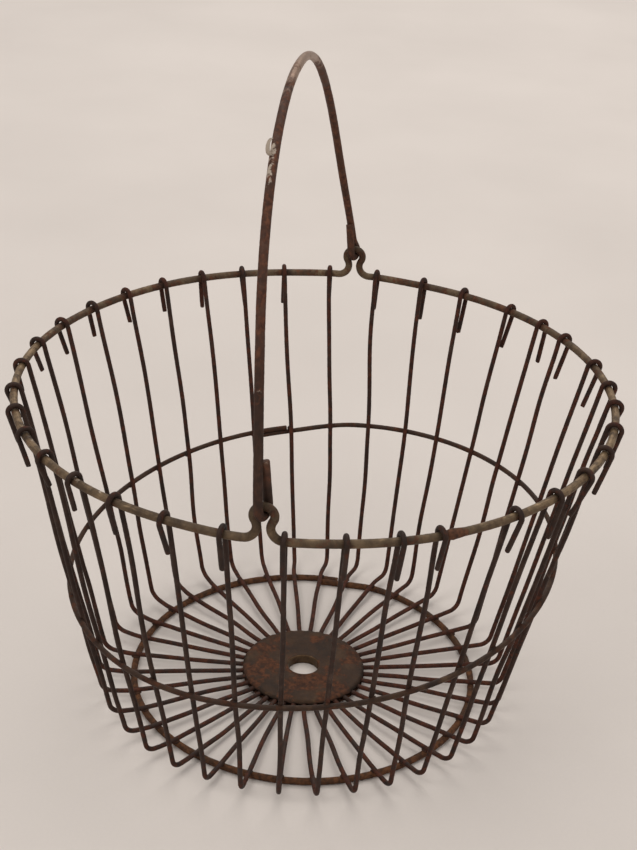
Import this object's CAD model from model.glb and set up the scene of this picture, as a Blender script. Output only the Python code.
import math

import bpy
import numpy as np
from mathutils import Matrix, Vector


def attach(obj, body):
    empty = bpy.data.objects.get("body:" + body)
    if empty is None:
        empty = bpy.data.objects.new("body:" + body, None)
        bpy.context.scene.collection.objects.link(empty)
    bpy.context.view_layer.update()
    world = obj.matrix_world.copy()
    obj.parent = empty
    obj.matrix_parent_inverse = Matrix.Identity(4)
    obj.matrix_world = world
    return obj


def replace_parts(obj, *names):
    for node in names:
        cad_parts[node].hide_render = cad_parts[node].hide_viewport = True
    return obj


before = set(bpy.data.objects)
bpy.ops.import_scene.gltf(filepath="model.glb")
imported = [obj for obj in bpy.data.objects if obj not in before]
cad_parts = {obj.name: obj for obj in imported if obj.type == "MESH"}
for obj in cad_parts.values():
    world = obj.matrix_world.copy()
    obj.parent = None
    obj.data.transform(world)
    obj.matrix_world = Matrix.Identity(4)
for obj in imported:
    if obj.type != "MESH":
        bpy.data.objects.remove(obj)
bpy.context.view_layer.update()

MM = 0.001
FIELDS = ("rust", "wear", "grime", "residue")

# ---------------------------------------------------------------- sizes, as the CAD has them
# The radius of a ring, an eye, a bend or a hook is that of its wire's centreline.
RIM_RADIUS = 189.0
RIM_HEIGHT = 225.0
RIM_WIRE = 5.0
RIM_WELD_ANGLE = 32.0
EYE_RISE = 14.7  # an eye's centre above the rim's centreline
EYE_RADIUS = 5.85
EYE_SHOULDER = 11.5  # half the gap between the bends where the rim turns up
EYE_EASE_RADIUS = 60.0  # of the rim's plan, where it eases from its circle into an eye

RIB_COUNT = 36
RIB_PITCH = 360 / RIB_COUNT
RIB_WIRE = 3.2
RIB_START = 2.4  # bearing of the first rib's foot
RIB_INNER_END = 23.0
RIB_CORNER = 137.0  # distance out to where a floor run and its upright would cross
RIB_BEND = 8.5
WELD_SINK = 0.3
HOOK_GAP = 0.3
HOOK_TURN = 185.5
HOOK_TURN_SCATTER = 4.5
TURN_STEP = 131.0  # phase that the scatter gains from rib to rib
HOOK_TAIL = 23.5
TAIL_WAVE = 4.5  # how much longer the tails at TAIL_ANGLE are
TAIL_ANGLE = 100.0
TAIL_SCATTER = 1.5
TAIL_STEP = 77.0

LEAN_MEAN = 1.5  # drift of the ribs' tops along the rim
LEAN_WAVES = (0.6, 1.1, 0.5, 0.4)  # once, twice, three and four times round the basket
LEAN_PHASES = (225.0, 78.0, 163.0, 22.0)
LEAN_KNOCKS = {10: -1.3, 11: -1.1, 12: 2.1, 14: -0.8, 15: 0.9, 28: 0.8}
LEAN_WELD_PUSH = 4.9  # of the rim's weld, on the rib beside it
WELD_RIB = 3
WELD_PUSH_FADE = 0.35  # share of the push that reaches the next rib

FOOT_RADIUS = 117.5
FOOT_WIRE = 4.5
HOOP_WIRE = 3.5
HOOP_HEIGHT = 102.5
HOOP_TILT = 6.3
HOOP_RISE_ANGLE = 125.0

HUB_RADIUS = 42.5
HUB_SHEET = 1.0
HUB_HOLE = 10.6
HUB_FLOOR_GAP = 0.2
HUB_CLAMP_GAP = 0.05
HUB_CURL = 2.4  # radius of the top plate's turned-down edge
HUB_MOUTH = 1.2  # radius of the rounded edge of the hole
HUB_LIP = 4.0  # width of the throat's rolled-out foot

BAIL_WIRE = 5.3
BAIL_RISE = 1.01 * RIM_RADIUS  # crown above the eyes' centres
BAIL_CROWN = 0.926 * RIM_RADIUS
BAIL_LEG_LEAN = 21.0
BAIL_LEG_BEND = 12.0
BAIL_HOOK = 5.7
BAIL_HOOK_TURN = 17.0
BAIL_TAIL_FRONT = 30.0
BAIL_TAIL_BACK = 27.0
BAIL_LEAN = 5.5

# ---------------------------------------------------------------- how making and use have bent it
# Only these meshes have this. A knock is its size, the bearing of its middle and its half width.
BULGE = (3.2, -56.0, 46.0)  # mm out of round, ribs and hoop together
LEFT_TURN = (2.6, -85.0, 58.0)  # degrees round the axis, on the floor
NEAR_SLANT = (-3.2, 22.0, 38.0)  # degrees round the axis, growing inwards on the floor
FAR_LEFT_LEAN = (-0.8, -132.0, 28.0)  # degrees round the axis, growing up the wall
FAR_LEAN = (-1.2, 174.0, 20.0)  # degrees round the axis, on the lower wall
HOOP_DIP = (2.6, 12.0, 62.0)  # mm down the wall
HOOP_LAP_ANGLE = 196.0
HOOP_LAP = 24.0
FOOT_LAP_ANGLE = 176.0
FOOT_LAP = 15.0
NEAR_LEG_BOW = 0.8  # of the bail's legs, towards +Y
FAR_LEG_BOW = -3.0
FAR_HOOK_SHIFT = -2.7
CHIP_FROM_CROWN = 93.5  # along the bail, on its near leg
CHIP_WAY = (0.9, -0.3, 0.25)
CURL_WAY = (0.62, -0.78, 0.1)
FLAKE_RISE_WAY = (-0.45, 0.0, 1.0)

# ---------------------------------------------------------------- sizes that follow from those
RIM_R, RIB_R, FOOT_R, HOOP_R, BAIL_R = (w / 2 for w in (RIM_WIRE, RIB_WIRE, FOOT_WIRE, HOOP_WIRE, BAIL_WIRE))
RIB_FLAT_END = HUB_RADIUS + 2
HUB_LIP_TOP = HUB_FLOOR_GAP + 0.8 * HUB_SHEET
HUB_BOTTOM_TOP = HUB_LIP_TOP + HUB_CLAMP_GAP + HUB_SHEET
HUB_RIB_HEIGHT = HUB_BOTTOM_TOP + HUB_CLAMP_GAP + RIB_R
HUB_EDGE_HEIGHT = HUB_RIB_HEIGHT + RIB_R + HUB_CLAMP_GAP
HUB_TOP = HUB_EDGE_HEIGHT + HUB_CURL - 0.6
RIB_FOOT_HEIGHT = FOOT_WIRE + RIB_R - WELD_SINK
HOOK_RADIUS = RIM_R + RIB_R + HOOK_GAP
PIVOT_HEIGHT = RIM_HEIGHT + EYE_RISE

# ---------------------------------------------------------------- meshing and seeds
BEVEL = 0.35  # length of a cut end's bevel
CUT_SHARE = 0.84  # share of the wire's radius left at the cut
WIRE_APART, PLATE_APART, WELD_APART = 137.0, 50.0, 11.0  # how far the noise moves on from seed to seed
RIB_SEED, RIB_BOW_SEED, RIB_TAIL_SEED, HOOP_WELD_SEED, FOOT_WELD_SEED = 20, 300, 700, 900, 1000

# ---------------------------------------------------------------- the viewpoint
CAMERA_TURN = 7.4
CAMERA_REACH = 900.9
CAMERA_HEIGHT = 671.4
CAMERA_YAW = 0.18
CAMERA_PITCH = 27.78
CAMERA_ROLL = 2.64
CAMERA_LENS = 66.9


# ================================================================ small maths
def cosd(angle):
    return np.cos(np.radians(angle))


def sind(angle):
    return np.sin(np.radians(angle))


def tand(angle):
    return math.tan(math.radians(angle))


def asind(ratio):
    return math.degrees(math.asin(ratio))


def atan2d(y, x):
    return math.degrees(math.atan2(y, x))


def unit(v):
    v = np.asarray(v, float)
    return v / np.linalg.norm(v, axis=-1, keepdims=True)


def shift(x, y, z):
    m = np.eye(4)
    m[:3, 3] = x, y, z
    return m


def turn(axis, angle):
    """Rotation by angle degrees about the X, Y or Z axis (0, 1 or 2)."""
    a, b = [(1, 2), (2, 0), (0, 1)][axis]
    m = np.eye(4)
    m[a, a] = m[b, b] = cosd(angle)
    m[b, a] = sind(angle)
    m[a, b] = -m[b, a]
    return m


def bearing_of(points):
    return np.degrees(np.arctan2(points[:, 1], points[:, 0]))


def reach_of(points):
    """Each point's distance from the basket's axis."""
    return np.hypot(points[:, 0], points[:, 1])


def off_by(bearing, centre):
    """The way round from centre to a bearing, from -180 to 180."""
    return (bearing - centre + 180) % 360 - 180


def clamp(x):
    return np.clip(x, 0, 1)


def smooth(x, low, high):
    """0 below low, 1 above high, and a smooth step between."""
    t = clamp((np.asarray(x, float) - low) / (high - low))
    return t * t * (3 - 2 * t)


def bump(x, centre, width):
    """1 at centre, falling smoothly to nothing about two widths away."""
    return np.exp(-(((np.asarray(x, float) - centre) / width) ** 2))


def plateau(bearing, knock):
    """A knock's size at a bearing: flat-topped and rounded, and nothing well outside its width."""
    size, centre, width = knock
    return size * np.exp(-((off_by(bearing, centre) / width) ** 4))


def ripple(points, wavelength, seed, waves=10):
    """A smooth random field over points with a spread of about 1, made of seeded plane waves."""
    rng = np.random.default_rng(seed)
    heading = unit(rng.normal(size=(waves, 3)))
    pace = rng.uniform(0.6, 1.7, waves) * 2 * math.pi / wavelength
    phase = rng.uniform(0, 2 * math.pi, waves)
    return math.sqrt(2 / waves) * np.cos(points @ (heading * pace[:, None]).T + phase).sum(axis=-1)


def pitting(points, wire_r, seed, amount=1.0):
    """How far a rusted wire's skin stands off its true radius: swells, grain, pits and lost scale."""
    swell = 0.018 * ripple(points, 26, seed)
    grain = 0.014 * ripple(points, 2.4, seed + 1)
    pits = -0.09 * smooth(ripple(points, 3.6, seed + 2), 1.5, 2.3)
    scale = -0.06 * smooth(ripple(points, 9, seed + 3), 1.1, 1.7)
    scale *= smooth(ripple(points, 2.0, seed + 4), -0.2, 0.9)
    return amount * math.sqrt(wire_r / RIB_R) * (swell + grain + pits + scale)


# ================================================================ wires
class Path:
    """A wire's centreline, laid step by step along its own Z. A positive bend turns towards its X."""

    def __init__(self, start, pace=1.3):
        self.at = np.array(start, float)
        self.pace = pace
        self.points = [self.at[:3, 3].copy()]
        self.length = 0.0
        self.marks = {}

    def mark(self, name):
        self.marks[name] = self.length
        return self

    def run(self, length):
        count = max(1, round(length / self.pace))
        for far in np.linspace(0, length, count + 1)[1:]:
            self.points.append((self.at @ np.array([0, 0, far, 1]))[:3])
        self.at = self.at @ shift(0, 0, length)
        self.length += length
        return self

    def bend(self, radius, angle, roll=0.0):
        """Bend through angle, after rolling the plane of the bend round the wire."""
        self.at = self.at @ turn(2, roll)
        side, size = np.sign(angle), abs(angle)
        if radius > 0:
            count = max(3, math.ceil(size / 7), math.ceil(math.radians(size) * radius / self.pace))
            for far in np.linspace(0, size, count + 1)[1:]:
                local = [side * radius * (1 - cosd(far)), 0, radius * sind(far), 1]
                self.points.append((self.at @ np.array(local))[:3])
        self.at = self.at @ shift(side * radius * (1 - cosd(size)), 0, radius * sind(size)) @ turn(1, angle)
        self.length += math.radians(size) * radius
        return self


def arc_length(points):
    """Distance along a centreline to each of its points."""
    steps = np.linalg.norm(np.diff(points, axis=0), axis=1)
    return np.concatenate([[0], np.cumsum(steps)])


def frames(points, closed):
    """Tangent and two cross directions at each station, carried along without twist."""
    if closed:
        tangents = unit(np.roll(points, -1, 0) - np.roll(points, 1, 0))
    else:
        tangents = unit(np.gradient(points, axis=0))
    first = np.eye(3)[np.argmin(np.abs(tangents[0]))]
    normals = np.empty_like(points)
    normals[0] = unit(first - tangents[0] * (first @ tangents[0]))
    for i in range(1, len(points)):
        normals[i] = unit(normals[i - 1] - tangents[i] * (normals[i - 1] @ tangents[i]))
    binormals = np.cross(tangents, normals)
    if closed:
        last = unit(normals[-1] - tangents[0] * (normals[-1] @ tangents[0]))
        twist = math.atan2(np.cross(last, normals[0]) @ tangents[0], last @ normals[0])
        share = (np.arange(len(points)) / len(points) * twist)[:, None]
        normals, binormals = (
            np.cos(share) * normals + np.sin(share) * binormals,
            np.cos(share) * binormals - np.sin(share) * normals,
        )
    return tangents, normals, binormals


def grid_faces(rows, columns, closed=True):
    """Quads over a grid of vertices. Each row is a loop, and where closed is true, so is each column."""
    row, column = np.meshgrid(np.arange(rows if closed else rows - 1), np.arange(columns), indexing="ij")
    after, beside = (row + 1) % rows, (column + 1) % columns
    corners = ((row, column), (row, beside), (after, beside), (after, column))
    return np.stack([r * columns + c for r, c in corners], -1).reshape(-1, 4)


def flipped(quads):
    return quads[:, [0, 3, 2, 1]]


class Skin:
    """Vertices, faces and per-vertex fields of one mesh. The field "wire" is where its noise is read."""

    def __init__(self, verts, faces, fields):
        self.verts, self.faces, self.fields = verts, faces, fields

    @staticmethod
    def join(skins):
        faces, base = [], 0
        for skin in skins:
            faces += [tuple(base + k for k in face) for face in skin.faces]
            base += len(skin.verts)
        wire = np.vstack([skin.fields["wire"] for skin in skins])
        return Skin(np.vstack([skin.verts for skin in skins]), faces, {"wire": wire})

    def dress(self, rust, wear, grime, residue=0.0):
        """Set what the material reads, each a number or one value for each vertex."""
        for name, value in zip(FIELDS, (rust, wear, grime, residue)):
            self.fields[name] = np.broadcast_to(value, len(self.verts))
        return self


def bevelled(points, radii):
    """An open centreline with a station added inside each end, and its two cut ends made narrower."""
    into, outof = unit(points[1] - points[0]), unit(points[-1] - points[-2])
    stations = [points[:1], points[:1] + into * BEVEL, points[1:-1], points[-1:] - outof * BEVEL, points[-1:]]
    narrowed = [[CUT_SHARE * radii[0]], radii[:1], radii[1:-1], radii[-1:], [CUT_SHARE * radii[-1]]]
    return np.vstack(stations), np.concatenate(narrowed)


def sweep(points, radii, sides, seed, closed=False, pits=1.0, cut=(0.25, -0.3)):
    """A tube of wire round a centreline. An open wire has bevelled, slightly sheared cut ends."""
    points = np.asarray(points, float)
    radii = np.broadcast_to(np.asarray(radii, float), len(points))
    if not closed:
        points, radii = bevelled(points, radii)
    count, mean_r = len(points), radii.mean()
    tangents, normals, binormals = frames(points, closed)
    angles = np.linspace(0, 2 * math.pi, sides, endpoint=False)
    ring = np.cos(angles)[:, None] * normals[:, None] + np.sin(angles)[:, None] * binormals[:, None]
    verts = points[:, None] + radii[:, None, None] * ring
    verts = (verts + ring * pitting(verts, mean_r, seed, pits)[..., None]).reshape(-1, 3)
    along = arc_length(points)
    along_all = np.repeat(along, sides)
    flat = [np.tile(mean_r * way(angles), count) for way in (np.cos, np.sin)]
    around = np.stack([along_all, *flat], -1)
    faces = grid_faces(count, sides, closed).tolist()
    if not closed:
        for end, slant in zip((0, count - 1), cut):
            own = slice(end * sides, (end + 1) * sides)
            verts[own] += tangents[end] * (slant * np.cos(angles - seed))[:, None]
            middle = len(verts)
            verts = np.vstack([verts, verts[own].mean(axis=0)])
            around = np.vstack([around, [along[end], 0, 0]])
            along_all = np.append(along_all, along[end])
            loop = [end * sides + k for k in range(sides)]
            pairs = list(zip(loop, loop[1:] + loop[:1]))
            faces += [(middle, q, p) if end == 0 else (middle, p, q) for p, q in pairs]
    return Skin(verts, faces, {"wire": around + [WIRE_APART * seed, 0, 0], "along": along_all})


# ================================================================ how the wires have been bent
def rib_bearing(i):
    return RIB_START + RIB_PITCH * i


def rib_lean(i):
    """How far a rib's top has drifted along the rim, in degrees."""
    terms = zip(range(1, 5), LEAN_WAVES, LEAN_PHASES)
    waves = sum(size * cosd(times * RIB_PITCH * i - phase) for times, size, phase in terms)
    push = 0 if i > WELD_RIB else LEAN_WELD_PUSH * WELD_PUSH_FADE ** (WELD_RIB - i)
    return LEAN_MEAN + waves + LEAN_KNOCKS.get(i, 0) - push


def stretched(points, grow):
    """Each point moved along its own radius, to grow times its distance from the axis."""
    return points * np.stack([grow, grow, np.ones(len(points))], -1)


def turned(points, angle):
    """Each point turned round the axis by its own angle."""
    x, y, z = points.T
    return np.stack([x * cosd(angle) - y * sind(angle), x * sind(angle) + y * cosd(angle), z], -1)


def bulged(points):
    """The near left side stands a little out of round below the rim, ribs and hoop together."""
    reach = reach_of(points)
    low = 1 - smooth(points[:, 2], HOOP_HEIGHT, RIM_HEIGHT - 12)
    outer = smooth(reach, FOOT_RADIUS - 8, RIB_CORNER - 4)
    return stretched(points, 1 + plateau(bearing_of(points), BULGE) * outer * low / reach)


def skewed(points, i):
    """Ribs drift round the axis: left floor runs turn, near ones slant in, and two stretches of wall lean."""
    bearing = rib_bearing(i)
    reach, height = reach_of(points), points[:, 2]
    outer = smooth(reach, FOOT_RADIUS, RIB_CORNER)
    free_of_hub = smooth(reach, RIB_INNER_END, HUB_RADIUS + 5)
    inward = clamp((RIB_CORNER - reach) / (RIB_CORNER - HUB_RADIUS))
    foot = plateau(bearing, LEFT_TURN) * (1 - 0.55 * outer) + plateau(bearing, NEAR_SLANT) * inward
    foot = foot * free_of_hub * (1 - smooth(height, 10, HOOP_HEIGHT))
    top = plateau(bearing, FAR_LEFT_LEAN) * smooth(height, 30, 150)
    far = plateau(bearing, FAR_LEAN) * outer * (1 - smooth(height, HOOP_HEIGHT, RIM_HEIGHT - 25))
    return turned(points, foot + top + far)


def settle(points, along, spans, seed, size):
    """Small hand-made bows: each span of wire swings sideways by a seeded amount, and its ends stay put."""
    rng = np.random.default_rng(seed)
    _, normals, binormals = frames(points, False)
    moved = points.copy()
    for low, high in spans:
        t = math.pi * clamp((along - low) / (high - low))
        for side in (normals, binormals):
            once, twice = rng.normal(0, size), rng.normal(0, 0.45 * size)
            bow = once * np.sin(t) ** 2 + twice * np.sin(2 * t) * np.sin(t)
            moved += side * bow[:, None]
    return moved


def hoop_level(points):
    """Height of the hoop's plane over or under each point."""
    uphill = points[:, 0] * cosd(HOOP_RISE_ANGLE) + points[:, 1] * sind(HOOP_RISE_ANGLE)
    return HOOP_HEIGHT + tand(HOOP_TILT) * uphill


def hoop_dip(points):
    """How far the hoop's near side has been pushed down along the ribs."""
    size, centre, width = HOOP_DIP
    return size * bump(off_by(bearing_of(points), centre), 0, width)


def dipped(points):
    """The hoop pushed down on its near side, and drawn in as the wall narrows."""
    dip = hoop_dip(points)
    slope = (RIM_RADIUS - RIB_CORNER) / (RIM_HEIGHT - RIB_FOOT_HEIGHT)
    return stretched(points, 1 - slope * dip / reach_of(points)) - dip[:, None] * [0, 0, 1]


def crossing_marks(bearing, lean_share, width):
    """1 where a rib crosses a ring, at a height where it has lean_share of its top's drift."""
    spots = (rib_bearing(i) + lean_share * rib_lean(i) for i in range(RIB_COUNT))
    return sum(bump(off_by(bearing, spot), 0, width) for spot in spots)


# ================================================================ ribs, rim, hoop, foot ring and bail
def rib_path(i):
    """A rib's centreline: out of the hub, over the foot ring, up the wall and over the rim to its tail."""
    lean = rib_lean(i)
    slope = atan2d(RIB_FOOT_HEIGHT - HUB_RIB_HEIGHT, FOOT_RADIUS - RIB_FLAT_END)
    across = RIM_RADIUS * cosd(lean) - RIB_FLAT_END
    up = RIM_HEIGHT - HUB_RIB_HEIGHT
    out = across * cosd(slope) + up * sind(slope)
    side = RIM_RADIUS * sind(lean)
    rise = up * cosd(slope) - across * sind(slope)
    height = math.hypot(side, rise)
    corner = (RIB_CORNER - RIB_FLAT_END) / cosd(slope)
    to_hook = math.hypot(out - corner, height)
    angle = 90 - atan2d(out - corner, height) + asind(HOOK_RADIUS / to_hook)
    tangent = RIB_BEND * tand(angle / 2)
    upright = math.sqrt(to_hook**2 - HOOK_RADIUS**2) - tangent
    tail = HOOK_TAIL + TAIL_WAVE * cosd(rib_bearing(i) - TAIL_ANGLE) + TAIL_SCATTER * sind(TAIL_STEP * i)
    start = turn(2, rib_bearing(i)) @ shift(RIB_INNER_END, 0, HUB_RIB_HEIGHT) @ turn(1, 90)
    path = Path(start).run(RIB_FLAT_END - RIB_INNER_END).bend(0, -slope).mark("slope").run(corner - tangent)
    path.bend(RIB_BEND, -angle, -atan2d(side, rise)).mark("upright").run(upright).mark("hook")
    return path.bend(HOOK_RADIUS, HOOK_TURN + HOOK_TURN_SCATTER * sind(TURN_STEP * i)).mark("tail").run(tail)


def make_rib(i):
    """A rib's skin, and the spots on its centreline where the hoop and the foot ring are welded to it."""
    path = rib_path(i)
    marks = path.marks
    points = np.array(path.points)
    along = arc_length(points)
    on_floor = along <= marks["upright"]
    on_wall = ~on_floor & (along < marks["hook"])
    to_hoop = np.abs(points[:, 2] - hoop_level(points) + hoop_dip(points))
    crossing = int(np.argmin(np.where(on_wall, to_hoop, np.inf)))
    weld = int(np.argmin(np.where(on_floor, np.abs(reach_of(points) - FOOT_RADIUS), np.inf)))
    points = bulged(skewed(points, i))
    hoop_spot, foot_spot = points[crossing], points[weld]

    spans = [(marks["slope"] + 3, along[weld] - 3), (marks["upright"], along[crossing] - 4),
             (along[crossing] + 4, marks["hook"] - 6)]
    points = settle(points, along, spans, RIB_BOW_SEED + i, 0.45)
    rng = np.random.default_rng(RIB_TAIL_SEED + i)
    bearing = rib_bearing(i)
    round_rim = np.array([-sind(bearing), cosd(bearing), 0])
    outward = np.array([cosd(bearing), sind(bearing), 0])
    hang = np.clip(along - marks["tail"], 0, None)
    points += hang[:, None] * (rng.normal(0.0, 0.03) * round_rim + rng.uniform(0.0, 0.02) * outward)
    radii = RIB_R - 0.10 * smooth(hang, hang.max() - 3.5, hang.max())
    skin = sweep(points, radii, 16, RIB_SEED + i, cut=(0.2, rng.uniform(-0.5, 0.5)))

    s = skin.fields["along"]
    hook = smooth(s, marks["hook"] - 12, marks["hook"])
    hook *= 1 - 0.5 * smooth(s, marks["tail"], marks["tail"] + 15)
    far = smooth(-cosd(bearing), -0.5, 0.8)
    right = smooth(sind(bearing), 0.1, 0.9)
    ground = 1 - smooth(skin.verts[:, 2], 8, 60)
    by_hub = 1 - smooth(s, 20, 26)
    weld_rust, weld_rub = bump(s, along[crossing], 7), bump(s, along[crossing], 25)
    skin.dress(
        rust=clamp(0.18 + 0.35 * far + 0.35 * ground + 0.14 * right + 0.25 * weld_rust + 0.14 * hook),
        wear=clamp(0.26 - 0.22 * far + 0.12 * weld_rub - 0.2 * hook),
        grime=clamp(0.35 * hook + 0.3 * by_hub),
        residue=0.10,
    )
    return skin, hoop_spot, foot_spot


def ring_arc(centre, radius, low, high, pace=1.3):
    """Points of the plane along an arc, from the angle low to the angle high."""
    count = max(3, math.ceil(math.radians(abs(high - low)) * radius / pace))
    angles = np.linspace(low, high, count + 1)
    return np.stack([centre[0] + radius * cosd(angles), centre[1] + radius * sind(angles)], -1)


def eye_plane():
    """The bearing at which the rim leaves its circle for the eye on +X, and how far out that eye stands."""
    ease = asind(EYE_SHOULDER / (RIM_RADIUS - EYE_EASE_RADIUS))
    return ease, (RIM_RADIUS - EYE_EASE_RADIUS) * cosd(ease) + EYE_EASE_RADIUS


def rim_points():
    """The rim's closed centreline: two half circles that rise into the eyes on +X and -X."""
    ease, plane = eye_plane()
    shoulder = (EYE_SHOULDER**2 + EYE_RISE**2 - EYE_RADIUS**2) / (2 * (EYE_RISE + EYE_RADIUS))
    neck = atan2d(EYE_RISE - shoulder, EYE_SHOULDER)
    loop = ring_arc((0, EYE_RISE), EYE_RADIUS, 90, -neck, 0.7)
    side = ring_arc((EYE_SHOULDER, shoulder), shoulder, 180 - neck, 270, 0.8)
    upright = np.vstack([loop[:-1], side])
    eye = np.column_stack([np.full(len(upright), plane), upright])
    centre = (RIM_RADIUS - EYE_EASE_RADIUS) * np.array([cosd(ease), sind(ease)])
    easing = ring_arc(centre, EYE_EASE_RADIUS, 0, ease)
    circle = ring_arc((0, 0), RIM_RADIUS, ease, 180 - ease)
    easing, circle = (np.column_stack([flat, np.zeros(len(flat))]) for flat in (easing, circle))
    rise = np.vstack([eye[:-1], easing[:-1]])
    fall = rise[::-1] * [-1, 1, 1]
    half = np.vstack([rise, circle, fall])[:-1]
    return np.vstack([half, half * [-1, -1, 1]]) + [0, 0, RIM_HEIGHT]


def from_rim_weld(points):
    """Distance round the rim from its closing weld."""
    return np.radians(bearing_of(points) - RIM_WELD_ANGLE) * RIM_RADIUS


def make_rim():
    points = rim_points()
    arc = from_rim_weld(points)
    lump = 0.75 * bump(arc, -1.4, 3.6) ** 1.5 + 0.2 * bump(arc, 3.2, 1.8)
    level = points[:, 2] < RIM_HEIGHT + 0.01
    points[:, 2] += level * 0.25 * ripple(points, 260, 41) * smooth(np.abs(points[:, 1]), 14, 50)
    skin = sweep(points, RIM_R + lump, 24, 1, closed=True)
    verts = skin.verts
    bearing = bearing_of(verts)
    eye = smooth(verts[:, 2], RIM_HEIGHT + 5, RIM_HEIGHT + 12)
    top = smooth(verts[:, 2] - RIM_HEIGHT, 0.2, 2.4)
    far = smooth(-cosd(bearing), -0.3, 0.7)
    weld = bump(from_rim_weld(verts), 0, 6)
    hooks = crossing_marks(bearing, 1.0, 0.9)
    near_left = bump(off_by(bearing, -42), 0, 26)
    flank = bump(np.abs(bearing), 75, 35)
    return skin.dress(
        rust=clamp(0.22 + 0.3 * far + 0.7 * weld + 0.4 * hooks + 0.2 * eye - 0.1 * top),
        wear=clamp(0.1 + 0.2 * top + 0.36 * flank - 0.1 * far - 0.15 * eye),
        grime=clamp(0.65 * hooks + 0.45 * eye),
        residue=clamp(near_left * (0.15 + 0.35 * top)),
    )


def lapped_ring(radius, wire_r, start, lap, offset_out, offset_up, place, seed, sides, pits=1.0):
    """A ring of wire and its centreline. Its last stretch lies beside its first, and is welded to it."""
    extra = math.degrees(lap / radius)
    count = math.ceil(math.radians(360 + extra) * radius / 1.4)
    angles = np.linspace(0, 360 + extra, count)
    ease = smooth(angles, 360 - 2.2 * extra, 360 + 0.1 * extra)
    wobble = 0.3 * sind(3 * angles + 40 * seed) + 0.2 * sind(5 * angles + 70 * seed)
    wobble *= smooth(angles, 0, 30) * (1 - smooth(angles, 330, 355))
    reach = radius - offset_out * ease + wobble
    bearing = angles + start
    local = np.stack([reach * cosd(bearing), reach * sind(bearing), offset_up * ease, np.ones(count)], -1)
    points = (local @ place.T)[:, :3]
    return sweep(points, wire_r, sides, seed, pits=pits), points


def hoop_place():
    """The hoop's tilted frame, and the radius at which it touches the ribs from outside."""
    inset, drop = RIM_RADIUS - RIB_CORNER, RIM_HEIGHT - RIB_FOOT_HEIGHT
    flare = atan2d(inset, drop) - asind(HOOK_RADIUS / math.hypot(inset, drop))
    touch = (RIB_R + HOOP_R - WELD_SINK) / cosd(flare)
    radius = RIB_CORNER + (HOOP_HEIGHT - RIB_FOOT_HEIGHT) * tand(flare) + touch
    along = radius * tand(HOOP_TILT) * tand(flare)
    centre = shift(along, 0, HOOP_HEIGHT + along * tand(HOOP_TILT))
    return turn(2, HOOP_RISE_ANGLE) @ centre @ turn(1, -HOOP_TILT), radius


def make_hoop():
    """The hoop's skin and its centreline."""
    place, radius = hoop_place()
    start = HOOP_LAP_ANGLE - HOOP_RISE_ANGLE
    skin, points = lapped_ring(radius, HOOP_R, start, HOOP_LAP, 0.0, -HOOP_WIRE, place, 2, 18)
    skin.verts = bulged(dipped(skin.verts))
    bearing = bearing_of(skin.verts)
    near_right = bump(off_by(bearing, 40), 0, 45)
    ribs = crossing_marks(bearing, 0.45, 1.3)
    skin.dress(
        rust=clamp(0.42 - 0.12 * near_right + 0.4 * ribs),
        wear=clamp(0.18 + 0.3 * near_right),
        grime=clamp(0.5 * ribs),
    )
    return skin, bulged(dipped(points))


def make_foot_ring():
    skin, _ = lapped_ring(FOOT_RADIUS, FOOT_R, FOOT_LAP_ANGLE, FOOT_LAP, 0.96 * FOOT_WIRE, 0.0,
                          shift(0, 0, FOOT_R), 3, 20, pits=1.5)
    height = np.maximum(skin.verts[:, 2], 0.0)
    skin.verts[:, 2] = height
    return skin.dress(
        rust=clamp(0.75 + 0.2 * ripple(skin.verts, 40, 51)),
        wear=0.1,
        grime=clamp(0.5 * (1 - smooth(height, 0, 1.2))),
    )


def bail_path():
    """The bail's centreline, leaned as it rests: tail, hook, leg, crown, leg, hook and tail."""
    _, plane = eye_plane()
    out, side = BAIL_HOOK * cosd(BAIL_HOOK_TURN), BAIL_HOOK * sind(BAIL_HOOK_TURN)
    twist = BAIL_HOOK_TURN - atan2d(side, plane + out)
    leg_foot = math.hypot(plane + out, side) - BAIL_LEG_BEND * (1 - cosd(BAIL_LEG_LEAN))
    leg_start = np.array([leg_foot, EYE_RADIUS + BAIL_LEG_BEND * sind(BAIL_LEG_LEAN)])
    normal = np.array([cosd(BAIL_LEG_LEAN), sind(BAIL_LEG_LEAN)])
    reach = leg_start - [0, BAIL_RISE - BAIL_CROWN]
    leg_radius = (reach @ reach - BAIL_CROWN**2) / (2 * (reach @ normal - BAIL_CROWN))
    centre = leg_start - leg_radius * normal
    half = atan2d(-centre[0], BAIL_RISE - BAIL_CROWN - centre[1])
    leg_turn = 90 - half - BAIL_LEG_LEAN
    start = shift(0, 0, PIVOT_HEIGHT) @ turn(0, BAIL_LEAN) @ shift(plane - out, side, BAIL_TAIL_FRONT)
    path = Path(start @ turn(2, 180 - BAIL_HOOK_TURN) @ turn(0, 180))
    path.run(BAIL_TAIL_FRONT - EYE_RADIUS).bend(BAIL_HOOK, -180)
    path.bend(BAIL_LEG_BEND, -BAIL_LEG_LEAN, twist).mark("leg").bend(leg_radius, -leg_turn)
    path.bend(BAIL_CROWN, -2 * half)
    path.bend(leg_radius, -leg_turn).mark("far_leg").bend(BAIL_LEG_BEND, -BAIL_LEG_LEAN)
    return path.bend(BAIL_HOOK, -180, twist).run(BAIL_TAIL_BACK - EYE_RADIUS)


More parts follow.
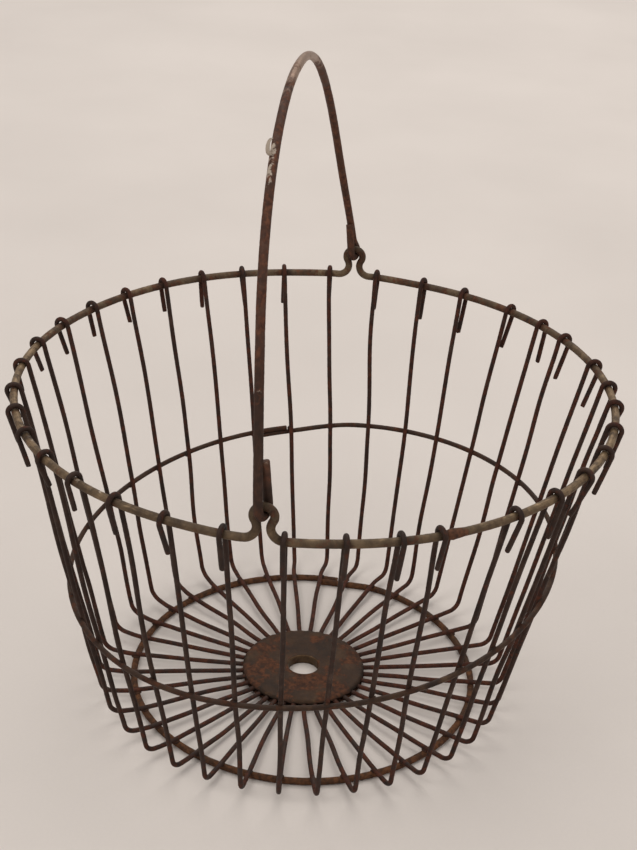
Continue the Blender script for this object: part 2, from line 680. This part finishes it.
def make_bail():
    """The bail's skin, and the spot where its paint flake clings."""
    path = bail_path()
    points = np.array(path.points)
    along = arc_length(points)
    leg, far_leg = path.marks["leg"], path.marks["far_leg"]
    middle = (leg + far_leg) / 2
    points = settle(points, along, [(leg, middle - 40), (middle + 40, far_leg)], 61, 0.3)
    for low, high, bow in ((leg, middle, NEAR_LEG_BOW), (middle, far_leg, FAR_LEG_BOW)):
        points[:, 1] += bow * np.sin(math.pi * clamp((along - low) / (high - low))) ** 1.3
    before_eye = 1 - smooth(along, far_leg - 2, far_leg + 9)
    points[:, 1] += FAR_HOOK_SHIFT * smooth(along, middle + 60, far_leg - 20) * before_eye
    skin = sweep(points, BAIL_R, 26, 8, pits=1.2, cut=(0.5, -0.5))

    s = skin.fields["along"]
    grip = middle + 32
    crown = bump(s, grip, np.where(s < grip, 74, 50))
    feet = clamp(bump(s, leg - 18, 16) + bump(s, far_leg + 18, 16))
    chip_at = middle - CHIP_FROM_CROWN
    centre = np.stack([np.interp(s, along, points[:, k]) for k in range(3)], -1)
    toward = smooth((skin.verts - centre) @ unit(CHIP_WAY) / BAIL_R, 0.1, 0.75)
    chip = toward * (bump(s, chip_at, 7) + 0.6 * bump(s, chip_at - 15, 11))
    skin.dress(
        rust=clamp(0.58 - 0.4 * crown - 0.3 * bump(s, leg + 15, 60) + 0.1 * feet),
        wear=np.clip(1.4 * crown, 0.05, 1.2),
        grime=clamp(0.7 * feet + 0.95 * bump(s, leg + 20, 50)),
        residue=clamp(1.1 * chip + 0.35 * bump(s, 0, 2.5) + 0.3 * bump(s, leg + 60, 4)),
    )
    return skin, points[int(np.argmin(np.abs(along - chip_at + 2)))]


# ================================================================ pressed plates, welds and the paint flake
def revolve(profile, steps, dent, seed):
    """A ring of sheet. Its profile is a loop of (radius, height), and dent moves each vertex up or down."""
    profile = np.asarray(profile, float)
    angles = np.linspace(0, 360, steps, endpoint=False)[:, None]
    radius, height = np.broadcast_arrays(*profile.T[:, None], angles)[:2]
    verts = np.stack([radius * cosd(angles), radius * sind(angles), height], -1).reshape(-1, 3)
    verts[:, 2] += dent(verts)
    faces = flipped(grid_faces(steps, len(profile))).tolist()
    return Skin(verts, faces, {"wire": verts + [PLATE_APART * seed, 0, 0]})


def line(start, end, pace=0.8):
    count = max(2, math.ceil(math.dist(start, end) / pace) + 1)
    return [tuple(p) for p in np.linspace(start, end, count)[:-1]]


def corner_arc(centre, radius, low, high, count=5):
    angles = np.linspace(low, high, count)
    return [(centre[0] + radius * cosd(a), centre[1] + radius * sind(a)) for a in angles]


def plate_dents(verts):
    """Flutes over the ribs, sags between them, broad dents and rust grain on the hub's top plate."""
    reach = reach_of(verts)
    between = 0.5 - 0.5 * cosd((bearing_of(verts) - RIB_START) * RIB_COUNT)
    edge = smooth(reach, HUB_RADIUS - 7, HUB_RADIUS)
    inner = smooth(reach, HUB_HOLE + 1.5, HUB_HOLE + 6)
    flat = verts * [1, 1, 0]
    broad = 0.16 * ripple(flat, 24, 71) + 0.07 * ripple(flat, 9, 72)
    grain = 0.025 * ripple(verts, 2.6, 73)
    pits = -0.10 * smooth(ripple(verts, 3.4, 74), 1.4, 2.2)
    return inner * (broad * (1 - edge) - 0.55 * edge * between + grain + pits)


def make_top_plate():
    edge = HUB_RADIUS - HUB_CURL
    mouth = HUB_HOLE + HUB_MOUTH
    throat = HUB_HOLE + HUB_SHEET
    lip = HUB_HOLE + HUB_LIP
    under = HUB_TOP - HUB_SHEET
    centre = (edge, HUB_TOP - HUB_CURL)
    drop = HUB_EDGE_HEIGHT - centre[1]
    loop = line((mouth, HUB_TOP), (edge, HUB_TOP), 0.75)
    loop += corner_arc(centre, HUB_CURL, 90, asind(drop / HUB_CURL), 7)
    loop += corner_arc(centre, HUB_CURL - HUB_SHEET, asind(drop / (HUB_CURL - HUB_SHEET)), 90, 5)
    loop += line((edge, under), (throat, under), 1.2)[1:]
    loop += line((throat, under), (throat, HUB_LIP_TOP), 0.9)
    loop += line((throat, HUB_LIP_TOP), (lip, HUB_LIP_TOP), 0.8)
    loop += corner_arc((lip - 0.1, (HUB_LIP_TOP + HUB_FLOOR_GAP) / 2), 0.38, 80, -80, 4)
    loop += line((lip - 0.3, HUB_FLOOR_GAP), (HUB_HOLE + 0.3, HUB_FLOOR_GAP), 0.8)
    loop += line((HUB_HOLE, HUB_FLOOR_GAP + 0.3), (HUB_HOLE, HUB_TOP - HUB_MOUTH), 0.8)
    loop += corner_arc((mouth, HUB_TOP - HUB_MOUTH), HUB_MOUTH, 180, 96, 6)
    skin = revolve(loop, 360, plate_dents, 5)
    verts = skin.verts
    reach = reach_of(verts)
    edge_band = smooth(reach, HUB_RADIUS - 4, HUB_RADIUS - 0.5)
    return skin.dress(
        rust=clamp(0.48 + 0.35 * ripple(verts, 20, 75)),
        wear=clamp(0.2 * edge_band + 0.8 * (reach < HUB_HOLE + 0.6)),
        grime=clamp(0.7 * (verts[:, 2] < HUB_TOP - 1.3) + 0.35 * edge_band),
    )


def make_bottom_plate():
    throat = HUB_HOLE + HUB_SHEET + HUB_CLAMP_GAP
    top, low = HUB_BOTTOM_TOP, HUB_BOTTOM_TOP - HUB_SHEET
    middle = (top + low) / 2
    loop = line((throat + 0.2, top), (HUB_RADIUS - 0.3, top), 0.9)
    loop += corner_arc((HUB_RADIUS - 0.4, middle), 0.42, 70, -70, 5)
    loop += line((HUB_RADIUS - 0.3, low), (throat + 0.2, low), 0.9)
    loop += corner_arc((throat + 0.4, middle), 0.42, 250, 110, 4)

    def dents(verts):
        loose = smooth(reach_of(verts), throat + 3, throat + 8)
        sag = np.clip(0.12 + 0.10 * ripple(verts * [1, 1, 0], 15, 81), 0, 0.3)
        return -loose * sag + 0.01 * ripple(verts, 2.4, 82)

    skin = revolve(loop, 300, dents, 6)
    return skin.dress(rust=clamp(0.7 + 0.25 * ripple(skin.verts, 14, 83)), wear=0.0, grime=0.45)


def blob(centre, axes, sizes, seed, rows=8, sides=14):
    """One lump of weld: a rounded, uneven bead stretched along its three axes."""
    polar = np.linspace(0, 180, rows + 2)[1:-1, None]
    angles = np.linspace(0, 360, sides, endpoint=False)
    height = np.broadcast_to(cosd(polar), (rows, sides))
    ball = np.stack([sind(polar) * cosd(angles), sind(polar) * sind(angles), height], -1).reshape(-1, 3)
    ball = np.vstack([[0, 0, 1], ball, [0, 0, -1]])
    ball *= (1 + 0.12 * ripple(ball, 2.2, seed) + 0.04 * ripple(ball, 0.8, seed + 1))[:, None]
    verts = centre + (ball * sizes) @ np.array(axes)
    bottom = len(ball) - 1
    last_row = bottom - sides
    faces = [(0, 1 + k, 1 + (k + 1) % sides) for k in range(sides)]
    faces += (flipped(grid_faces(rows, sides, False)) + 1).tolist()
    faces += [(bottom, last_row + (k + 1) % sides, last_row + k) for k in range(sides)]
    return Skin(verts, faces, {"wire": verts + [WELD_APART * seed, 0, 0]})


def make_hoop_welds(spots, hoop_points):
    lumps = []
    rng = np.random.default_rng(91)
    for i, spot in enumerate(spots):
        nearest = hoop_points[int(np.argmin(np.linalg.norm(hoop_points - spot, axis=1)))]
        out = unit(nearest - spot)
        up = unit([0, 0, 1.0] - out * out[2])
        size = rng.uniform(0.75, 1.1) * np.array([2.3, 2.2, 1.5])
        lumps.append(blob(spot + out * RIB_R, (np.cross(out, up), up, out), size, HOOP_WELD_SEED + i))
    return Skin.join(lumps).dress(0.55, 0.25, 0.55)


def make_foot_welds(spots):
    lumps = []
    rng = np.random.default_rng(92)
    up = np.array([0, 0, 1.0])
    for i, spot in enumerate(spots):
        out = unit([spot[0], spot[1], 0])
        size = rng.uniform(0.8, 1.1) * np.array([2.6, 2.5, 1.2])
        centre = np.array([spot[0], spot[1], FOOT_WIRE - 0.15])
        lumps.append(blob(centre, (out, np.cross(up, out), up), size, FOOT_WELD_SEED + i))
    return Skin.join(lumps).dress(0.8, 0.1, 0.5)


def make_flake(spot):
    """A curl of old paint that still clings to the bail's near leg."""
    outward, way = unit(CHIP_WAY), np.array(FLAKE_RISE_WAY)
    up = unit(way - outward * (way @ outward))
    side = np.cross(up, outward)
    rows, columns = 21, 5
    t, u = np.meshgrid(np.linspace(0, 1, rows), np.linspace(-1, 1, columns), indexing="ij")
    rise = (9.5 * t - 0.9 * sind(360 * t))[..., None] * up
    width = ((1.4 - 0.6 * t) * u)[..., None] * side
    curl = 2.9 * sind(172 * t**0.85) - 0.12 * u**2
    sheets = []
    for lift in (0.0, 0.3):
        stand = (curl + lift)[..., None] * unit(CURL_WAY)
        sheets.append((spot + outward * (BAIL_R - 0.25) + rise + stand + width).reshape(-1, 3))
    verts = np.vstack(sheets)
    verts += 0.05 * ripple(verts, 2.0, 95)[:, None] * outward
    n = rows * columns
    faces = []
    for r in range(rows - 1):
        for c in range(columns - 1):
            a, b = r * columns + c, (r + 1) * columns + c
            faces.append((a, a + 1, b + 1, b))
            faces.append((n + a, n + b, n + b + 1, n + a + 1))
    rim_loop = list(range(columns)) + [r * columns + columns - 1 for r in range(1, rows)]
    rim_loop += [(rows - 1) * columns + c for c in range(columns - 2, -1, -1)]
    rim_loop += [r * columns for r in range(rows - 2, 0, -1)]
    for p, q in zip(rim_loop, rim_loop[1:] + rim_loop[:1]):
        faces.append((q, p, n + p, n + q))
    return Skin(verts, faces, {"wire": verts}).dress(0.0, 0.0, 0.0, 1.0)


# ================================================================ materials
def srgb(red, green, blue):
    values = np.array([red, green, blue]) / 255
    linear = np.where(values <= 0.04045, values / 12.92, ((values + 0.055) / 1.055) ** 2.4)
    return (*linear.tolist(), 1.0)


def grey(value):
    return (value, value, value, 1.0)


class Graph:
    """A short way to write a material's nodes."""

    def __init__(self, name):
        self.material = bpy.data.materials.new(name)
        self.material.use_nodes = True
        self.tree = self.material.node_tree
        self.tree.nodes.clear()
        self.shader = self.tree.nodes.new("ShaderNodeBsdfPrincipled")
        output = self.tree.nodes.new("ShaderNodeOutputMaterial")
        self.tree.links.new(self.shader.outputs[0], output.inputs[0])

    def put(self, socket, value):
        if isinstance(value, bpy.types.NodeSocket):
            self.tree.links.new(value, socket)
        else:
            socket.default_value = value

    def shade(self, **inputs):
        for key, value in inputs.items():
            self.put(self.shader.inputs[key.replace("_", " ")], value)

    def node(self, kind, settings=None, **inputs):
        made = self.tree.nodes.new(kind)
        for key, value in (settings or {}).items():
            setattr(made, key, value)
        for key, value in inputs.items():
            self.put(made.inputs[key.replace("_", " ")], value)
        return made

    def field(self, name, output="Fac"):
        return self.node("ShaderNodeAttribute", {"attribute_name": name}).outputs[output]

    def stretch(self, vector, x, y, z):
        return self.node("ShaderNodeMapping", Vector=vector, Scale=(x, y, z)).outputs[0]

    def noise(self, vector, scale, detail=3.0, rough=0.55, warp=0.0):
        inputs = {"Vector": vector, "Scale": scale, "Detail": detail, "Roughness": rough, "Distortion": warp}
        return self.node("ShaderNodeTexNoise", **inputs).outputs["Fac"]

    def cells(self, vector, scale):
        return self.node("ShaderNodeTexVoronoi", Vector=vector, Scale=scale).outputs["Distance"]

    def ramp(self, value, *stops):
        made = self.node("ShaderNodeValToRGB", Fac=value)
        band = made.color_ramp
        while len(band.elements) < len(stops):
            band.elements.new(0.5)
        for element, (place, colour) in zip(band.elements, stops):
            element.position = place
            element.color = colour if isinstance(colour, tuple) else grey(colour)
        return made.outputs["Color"]

    def mix(self, share, first, second, way="MIX"):
        made = self.node("ShaderNodeMix", {"data_type": "RGBA", "blend_type": way, "clamp_factor": True})
        for index, value in ((0, share), (6, first), (7, second)):
            self.put(made.inputs[index], value)
        return made.outputs[2]

    def calc(self, operation, first, second):
        made = self.node("ShaderNodeMath", {"operation": operation})
        self.put(made.inputs[0], first)
        self.put(made.inputs[1], second)
        return made.outputs[0]

    def add(self, first, *others):
        for other in others:
            first = self.calc("ADD", first, other)
        return first

    def times(self, first, second):
        return self.calc("MULTIPLY", first, second)

    def swing(self, noise, gain):
        """A noise centred on nought, times gain."""
        return self.times(self.calc("SUBTRACT", noise, 0.5), gain)

    def dent(self, height, strength, distance, normal=None):
        made = self.node("ShaderNodeBump", Height=height, Strength=strength, Distance=distance)
        if normal is not None:
            self.put(made.inputs["Normal"], normal)
        return made.outputs[0]


OLD_PAINT, GRIME = srgb(186, 172, 156), srgb(28, 23, 18)


def steel(name, oxides, rusts, bare, rust_bias=0.0, grain=1.0, sheen=0.45):
    """Old steel: an oxide skin in three tones, blooms of rust in two, rubbed metal, grime and old paint."""
    dark, mid, light = (srgb(*tone) for tone in oxides)
    rust_dark, rust_bright = (srgb(*tone) for tone in rusts)
    g = Graph(name)
    place = g.field("wire", "Vector")
    drawn = g.stretch(place, 0.12, 1.0, 1.0)
    broad = g.noise(place, 28.0, 4.0, 0.6)
    patch = g.noise(place, 110.0, 5.0, 0.62, 0.4)
    fine = g.noise(place, 700.0 * grain, 4.0, 0.6)
    lines = g.noise(drawn, 1500.0, 2.0, 0.5)
    pits = g.cells(place, 420.0 * grain)
    tone = g.add(g.times(broad, 0.55), g.times(patch, 0.45))
    skin = g.ramp(tone, (0.36, dark), (0.5, mid), (0.64, light))
    skin = g.mix(0.55, skin, g.ramp(fine, (0.3, 0.45), (0.7, 1.0)), "MULTIPLY")

    wear_field = g.add(g.field("wear"), g.swing(patch, 1.6), g.swing(lines, 0.7))
    wear = g.ramp(wear_field, (0.42, 0.0), (0.85, 1.0))
    skin = g.mix(wear, skin, g.mix(fine, srgb(*bare), light))

    bloom = g.noise(place, 85.0, 7.0, 0.68, 0.8)
    speck = g.noise(place, 330.0, 4.0, 0.6)
    rust_field = g.add(g.field("rust"), g.swing(bloom, 2.6), g.swing(speck, 0.9), rust_bias)
    rust = g.ramp(rust_field, (0.40, 0.0), (0.72, 1.0))
    rust_tone = g.mix(g.ramp(speck, (0.38, 0.0), (0.66, 1.0)), rust_dark, rust_bright)
    skin = g.mix(rust, skin, rust_tone)

    grime = g.times(g.field("grime"), g.ramp(patch, (0.3, 1.0), (0.75, 0.4)))
    skin = g.mix(g.times(grime, 0.75), skin, GRIME)

    fleck = g.noise(place, 230.0, 6.0, 0.66, 0.5)
    paint = g.ramp(g.add(g.field("residue"), g.swing(fleck, 2.4)), (0.62, 0.0), (0.80, 1.0))
    skin = g.mix(g.times(paint, 0.85), skin, OLD_PAINT)

    rough = g.ramp(fine, (0.25, 0.50), (0.75, 0.68))
    rough = g.mix(wear, rough, grey(0.40))
    rough = g.mix(rust, rough, grey(0.86))
    rough = g.mix(paint, rough, grey(0.72))
    metal = g.mix(rust, g.mix(wear, grey(sheen), grey(0.5)), grey(0.05))
    metal = g.mix(paint, metal, grey(0.0))

    normal = g.dent(lines, 0.12, 0.00008)
    normal = g.dent(g.ramp(pits, (0.0, 0.0), (0.35, 1.0)), g.times(rust, 0.35), 0.00018, normal)
    normal = g.dent(fine, 0.45, 0.00015, normal)
    normal = g.dent(g.add(bloom, g.times(paint, 0.3)), 0.30, 0.0004, normal)
    g.shade(Base_Color=skin, Roughness=rough, Metallic=metal, Specular_IOR_Level=0.3, Normal=normal)
    return g.material


steel_rim = steel("dull_zinc_and_rust", ((61, 47, 37), (97, 79, 60), (131, 109, 83)),
                  ((60, 39, 29), (102, 66, 46)), (155, 131, 101), sheen=0.3)
steel_rib = steel("dark_oxide_wire", ((40, 27, 22), (57, 39, 31), (76, 56, 46)),
                  ((52, 29, 21), (86, 47, 32)), (98, 80, 70), sheen=0.25)
steel_hoop = steel("brown_oxide_hoop", ((44, 30, 22), (62, 43, 31), (80, 58, 42)),
                   ((52, 32, 22), (84, 50, 32)), (92, 71, 52), sheen=0.25)
steel_foot = steel("foot_ring_rust", ((52, 35, 24), (74, 50, 33), (93, 66, 43)),
                   ((60, 38, 24), (103, 66, 40)), (106, 82, 58), rust_bias=0.1)
steel_hub = steel("mottled_sheet_rust", ((43, 30, 21), (64, 44, 29), (84, 60, 39)),
                  ((54, 33, 22), (94, 56, 34)), (108, 86, 62), grain=0.8)
steel_bail = steel("red_brown_bail", ((63, 41, 32), (82, 54, 41), (106, 75, 58)),
                   ((62, 38, 29), (108, 68, 49)), (174, 148, 128), sheen=0.25)
steel_weld = steel("burnt_weld", ((38, 30, 27), (56, 43, 37), (78, 64, 54)),
                   ((50, 32, 24), (88, 56, 38)), (100, 90, 78), grain=1.4)


def floor_material():
    g = Graph("pale_floor")
    where = g.node("ShaderNodeTexCoord").outputs["Object"]
    cloud = g.noise(where, 3.0, 4.0, 0.5)
    weave = g.noise(where, 420.0, 3.0, 0.6)
    pale = g.mix(g.ramp(cloud, (0.3, 0.0), (0.7, 1.0)), srgb(215, 207, 201), srgb(223, 215, 209))
    pale = g.mix(0.08, pale, g.ramp(weave, (0.3, 0.8), (0.7, 1.0)), "MULTIPLY")
    g.shade(Base_Color=pale, Roughness=0.75, Normal=g.dent(weave, 0.08, 0.0003))
    return g.material


# ================================================================ pieces
def show(made):
    bpy.context.scene.collection.objects.link(made)


def add_piece(name, skin, material, body):
    mesh = bpy.data.meshes.new(name)
    mesh.from_pydata((skin.verts * MM).tolist(), [], [tuple(f) for f in skin.faces])
    for field in FIELDS:
        layer = mesh.attributes.new(field, "FLOAT", "POINT")
        layer.data.foreach_set("value", skin.fields[field].astype(np.float32))
    layer = mesh.attributes.new("wire", "FLOAT_VECTOR", "POINT")
    layer.data.foreach_set("vector", (skin.fields["wire"] * MM).astype(np.float32).ravel())
    mesh.polygons.foreach_set("use_smooth", [True] * len(mesh.polygons))
    mesh.materials.append(material)
    mesh.update()
    piece = bpy.data.objects.new(name, mesh)
    show(piece)
    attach(piece, body)
    return piece


def stand_in(node, skin, material, body):
    """A worn piece that is shown in place of a CAD node."""
    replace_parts(add_piece("worn_" + node, skin, material, body), node)


hoop_spots, foot_spots = [], []
for index in range(RIB_COUNT):
    rib_skin, hoop_spot, foot_spot = make_rib(index)
    hoop_spots.append(hoop_spot)
    foot_spots.append(foot_spot)
    stand_in(f"rib_{index + 1:02d}", rib_skin, steel_rib, "basket")

hoop_skin, hoop_line = make_hoop()
bail_skin, flake_spot = make_bail()
stand_in("rim", make_rim(), steel_rim, "basket")
stand_in("mid_hoop", hoop_skin, steel_hoop, "basket")
stand_in("foot_ring", make_foot_ring(), steel_foot, "basket")
stand_in("hub_top_plate", make_top_plate(), steel_hub, "basket")
stand_in("hub_bottom_plate", make_bottom_plate(), steel_hub, "basket")
stand_in("bail", bail_skin, steel_bail, "bail")
add_piece("hoop_welds", make_hoop_welds(hoop_spots, hoop_line), steel_weld, "basket")
add_piece("foot_welds", make_foot_welds(foot_spots), steel_weld, "basket")
add_piece("bail_paint_flake", make_flake(flake_spot), steel_bail, "bail")


# ================================================================ floor, light and camera
def add_floor(reach=6.0):
    mesh = bpy.data.meshes.new("floor")
    corners = [(x * reach, y * reach, 0) for x, y in ((-1, -1), (1, -1), (1, 1), (-1, 1))]
    mesh.from_pydata(corners, [], [(0, 1, 2, 3)])
    mesh.materials.append(floor_material())
    floor = bpy.data.objects.new("floor", mesh)
    show(floor)


def add_lamp(name, place, target, size, power, colour):
    lamp = bpy.data.lights.new(name, "AREA")
    lamp.shape = "DISK"
    lamp.size, lamp.energy, lamp.color = size, power, colour
    holder = bpy.data.objects.new(name, lamp)
    show(holder)
    holder.location = place
    holder.rotation_euler = (Vector(target) - Vector(place)).to_track_quat("-Z", "Y").to_euler()


def add_world():
    world = bpy.data.worlds.new("soft_room")
    world.use_nodes = True
    back = world.node_tree.nodes["Background"]
    back.inputs["Color"].default_value = (1.0, 0.965, 0.93, 1)
    back.inputs["Strength"].default_value = 0.52
    bpy.context.scene.world = world


def add_camera():
    a, yaw, pitch, roll = (math.radians(v) for v in (CAMERA_TURN, CAMERA_YAW, CAMERA_PITCH, CAMERA_ROLL))
    place = Vector((CAMERA_REACH * math.cos(a), CAMERA_REACH * math.sin(a), CAMERA_HEIGHT)) * MM
    level = Matrix.Rotation(-yaw, 3, "Z") @ Vector((-math.cos(a), -math.sin(a), 0))
    forward = level * math.cos(pitch) - Vector((0, 0, math.sin(pitch)))
    right = forward.cross(Vector((0, 0, 1))).normalized()
    up = right.cross(forward)
    rolled_right = right * math.cos(roll) + up * math.sin(roll)
    rolled_up = up * math.cos(roll) - right * math.sin(roll)
    camera = bpy.data.objects.new("camera", bpy.data.cameras.new("camera"))
    show(camera)
    camera.data.lens, camera.data.sensor_width = CAMERA_LENS, 36
    camera.data.clip_start, camera.data.clip_end = 0.02, 50
    turned_to = Matrix((rolled_right, rolled_up, -forward)).transposed().to_4x4()
    camera.matrix_world = Matrix.Translation(place) @ turned_to
    bpy.context.scene.camera = camera


add_floor()
add_world()
add_lamp("key", (1.2, -1.3, 2.4), (0, 0, 0.1), 1.8, 20, (1.0, 0.97, 0.93))
add_lamp("fill", (0.9, 1.9, 1.9), (0, 0, 0.1), 2.0, 9, (1.0, 0.98, 0.96))
add_lamp("far_floor", (-2.2, 0.0, 2.6), (-1.9, 0, 0), 2.6, 36, (1.0, 0.96, 0.92))
add_camera()
bpy.context.scene.view_settings.view_transform = "Standard"
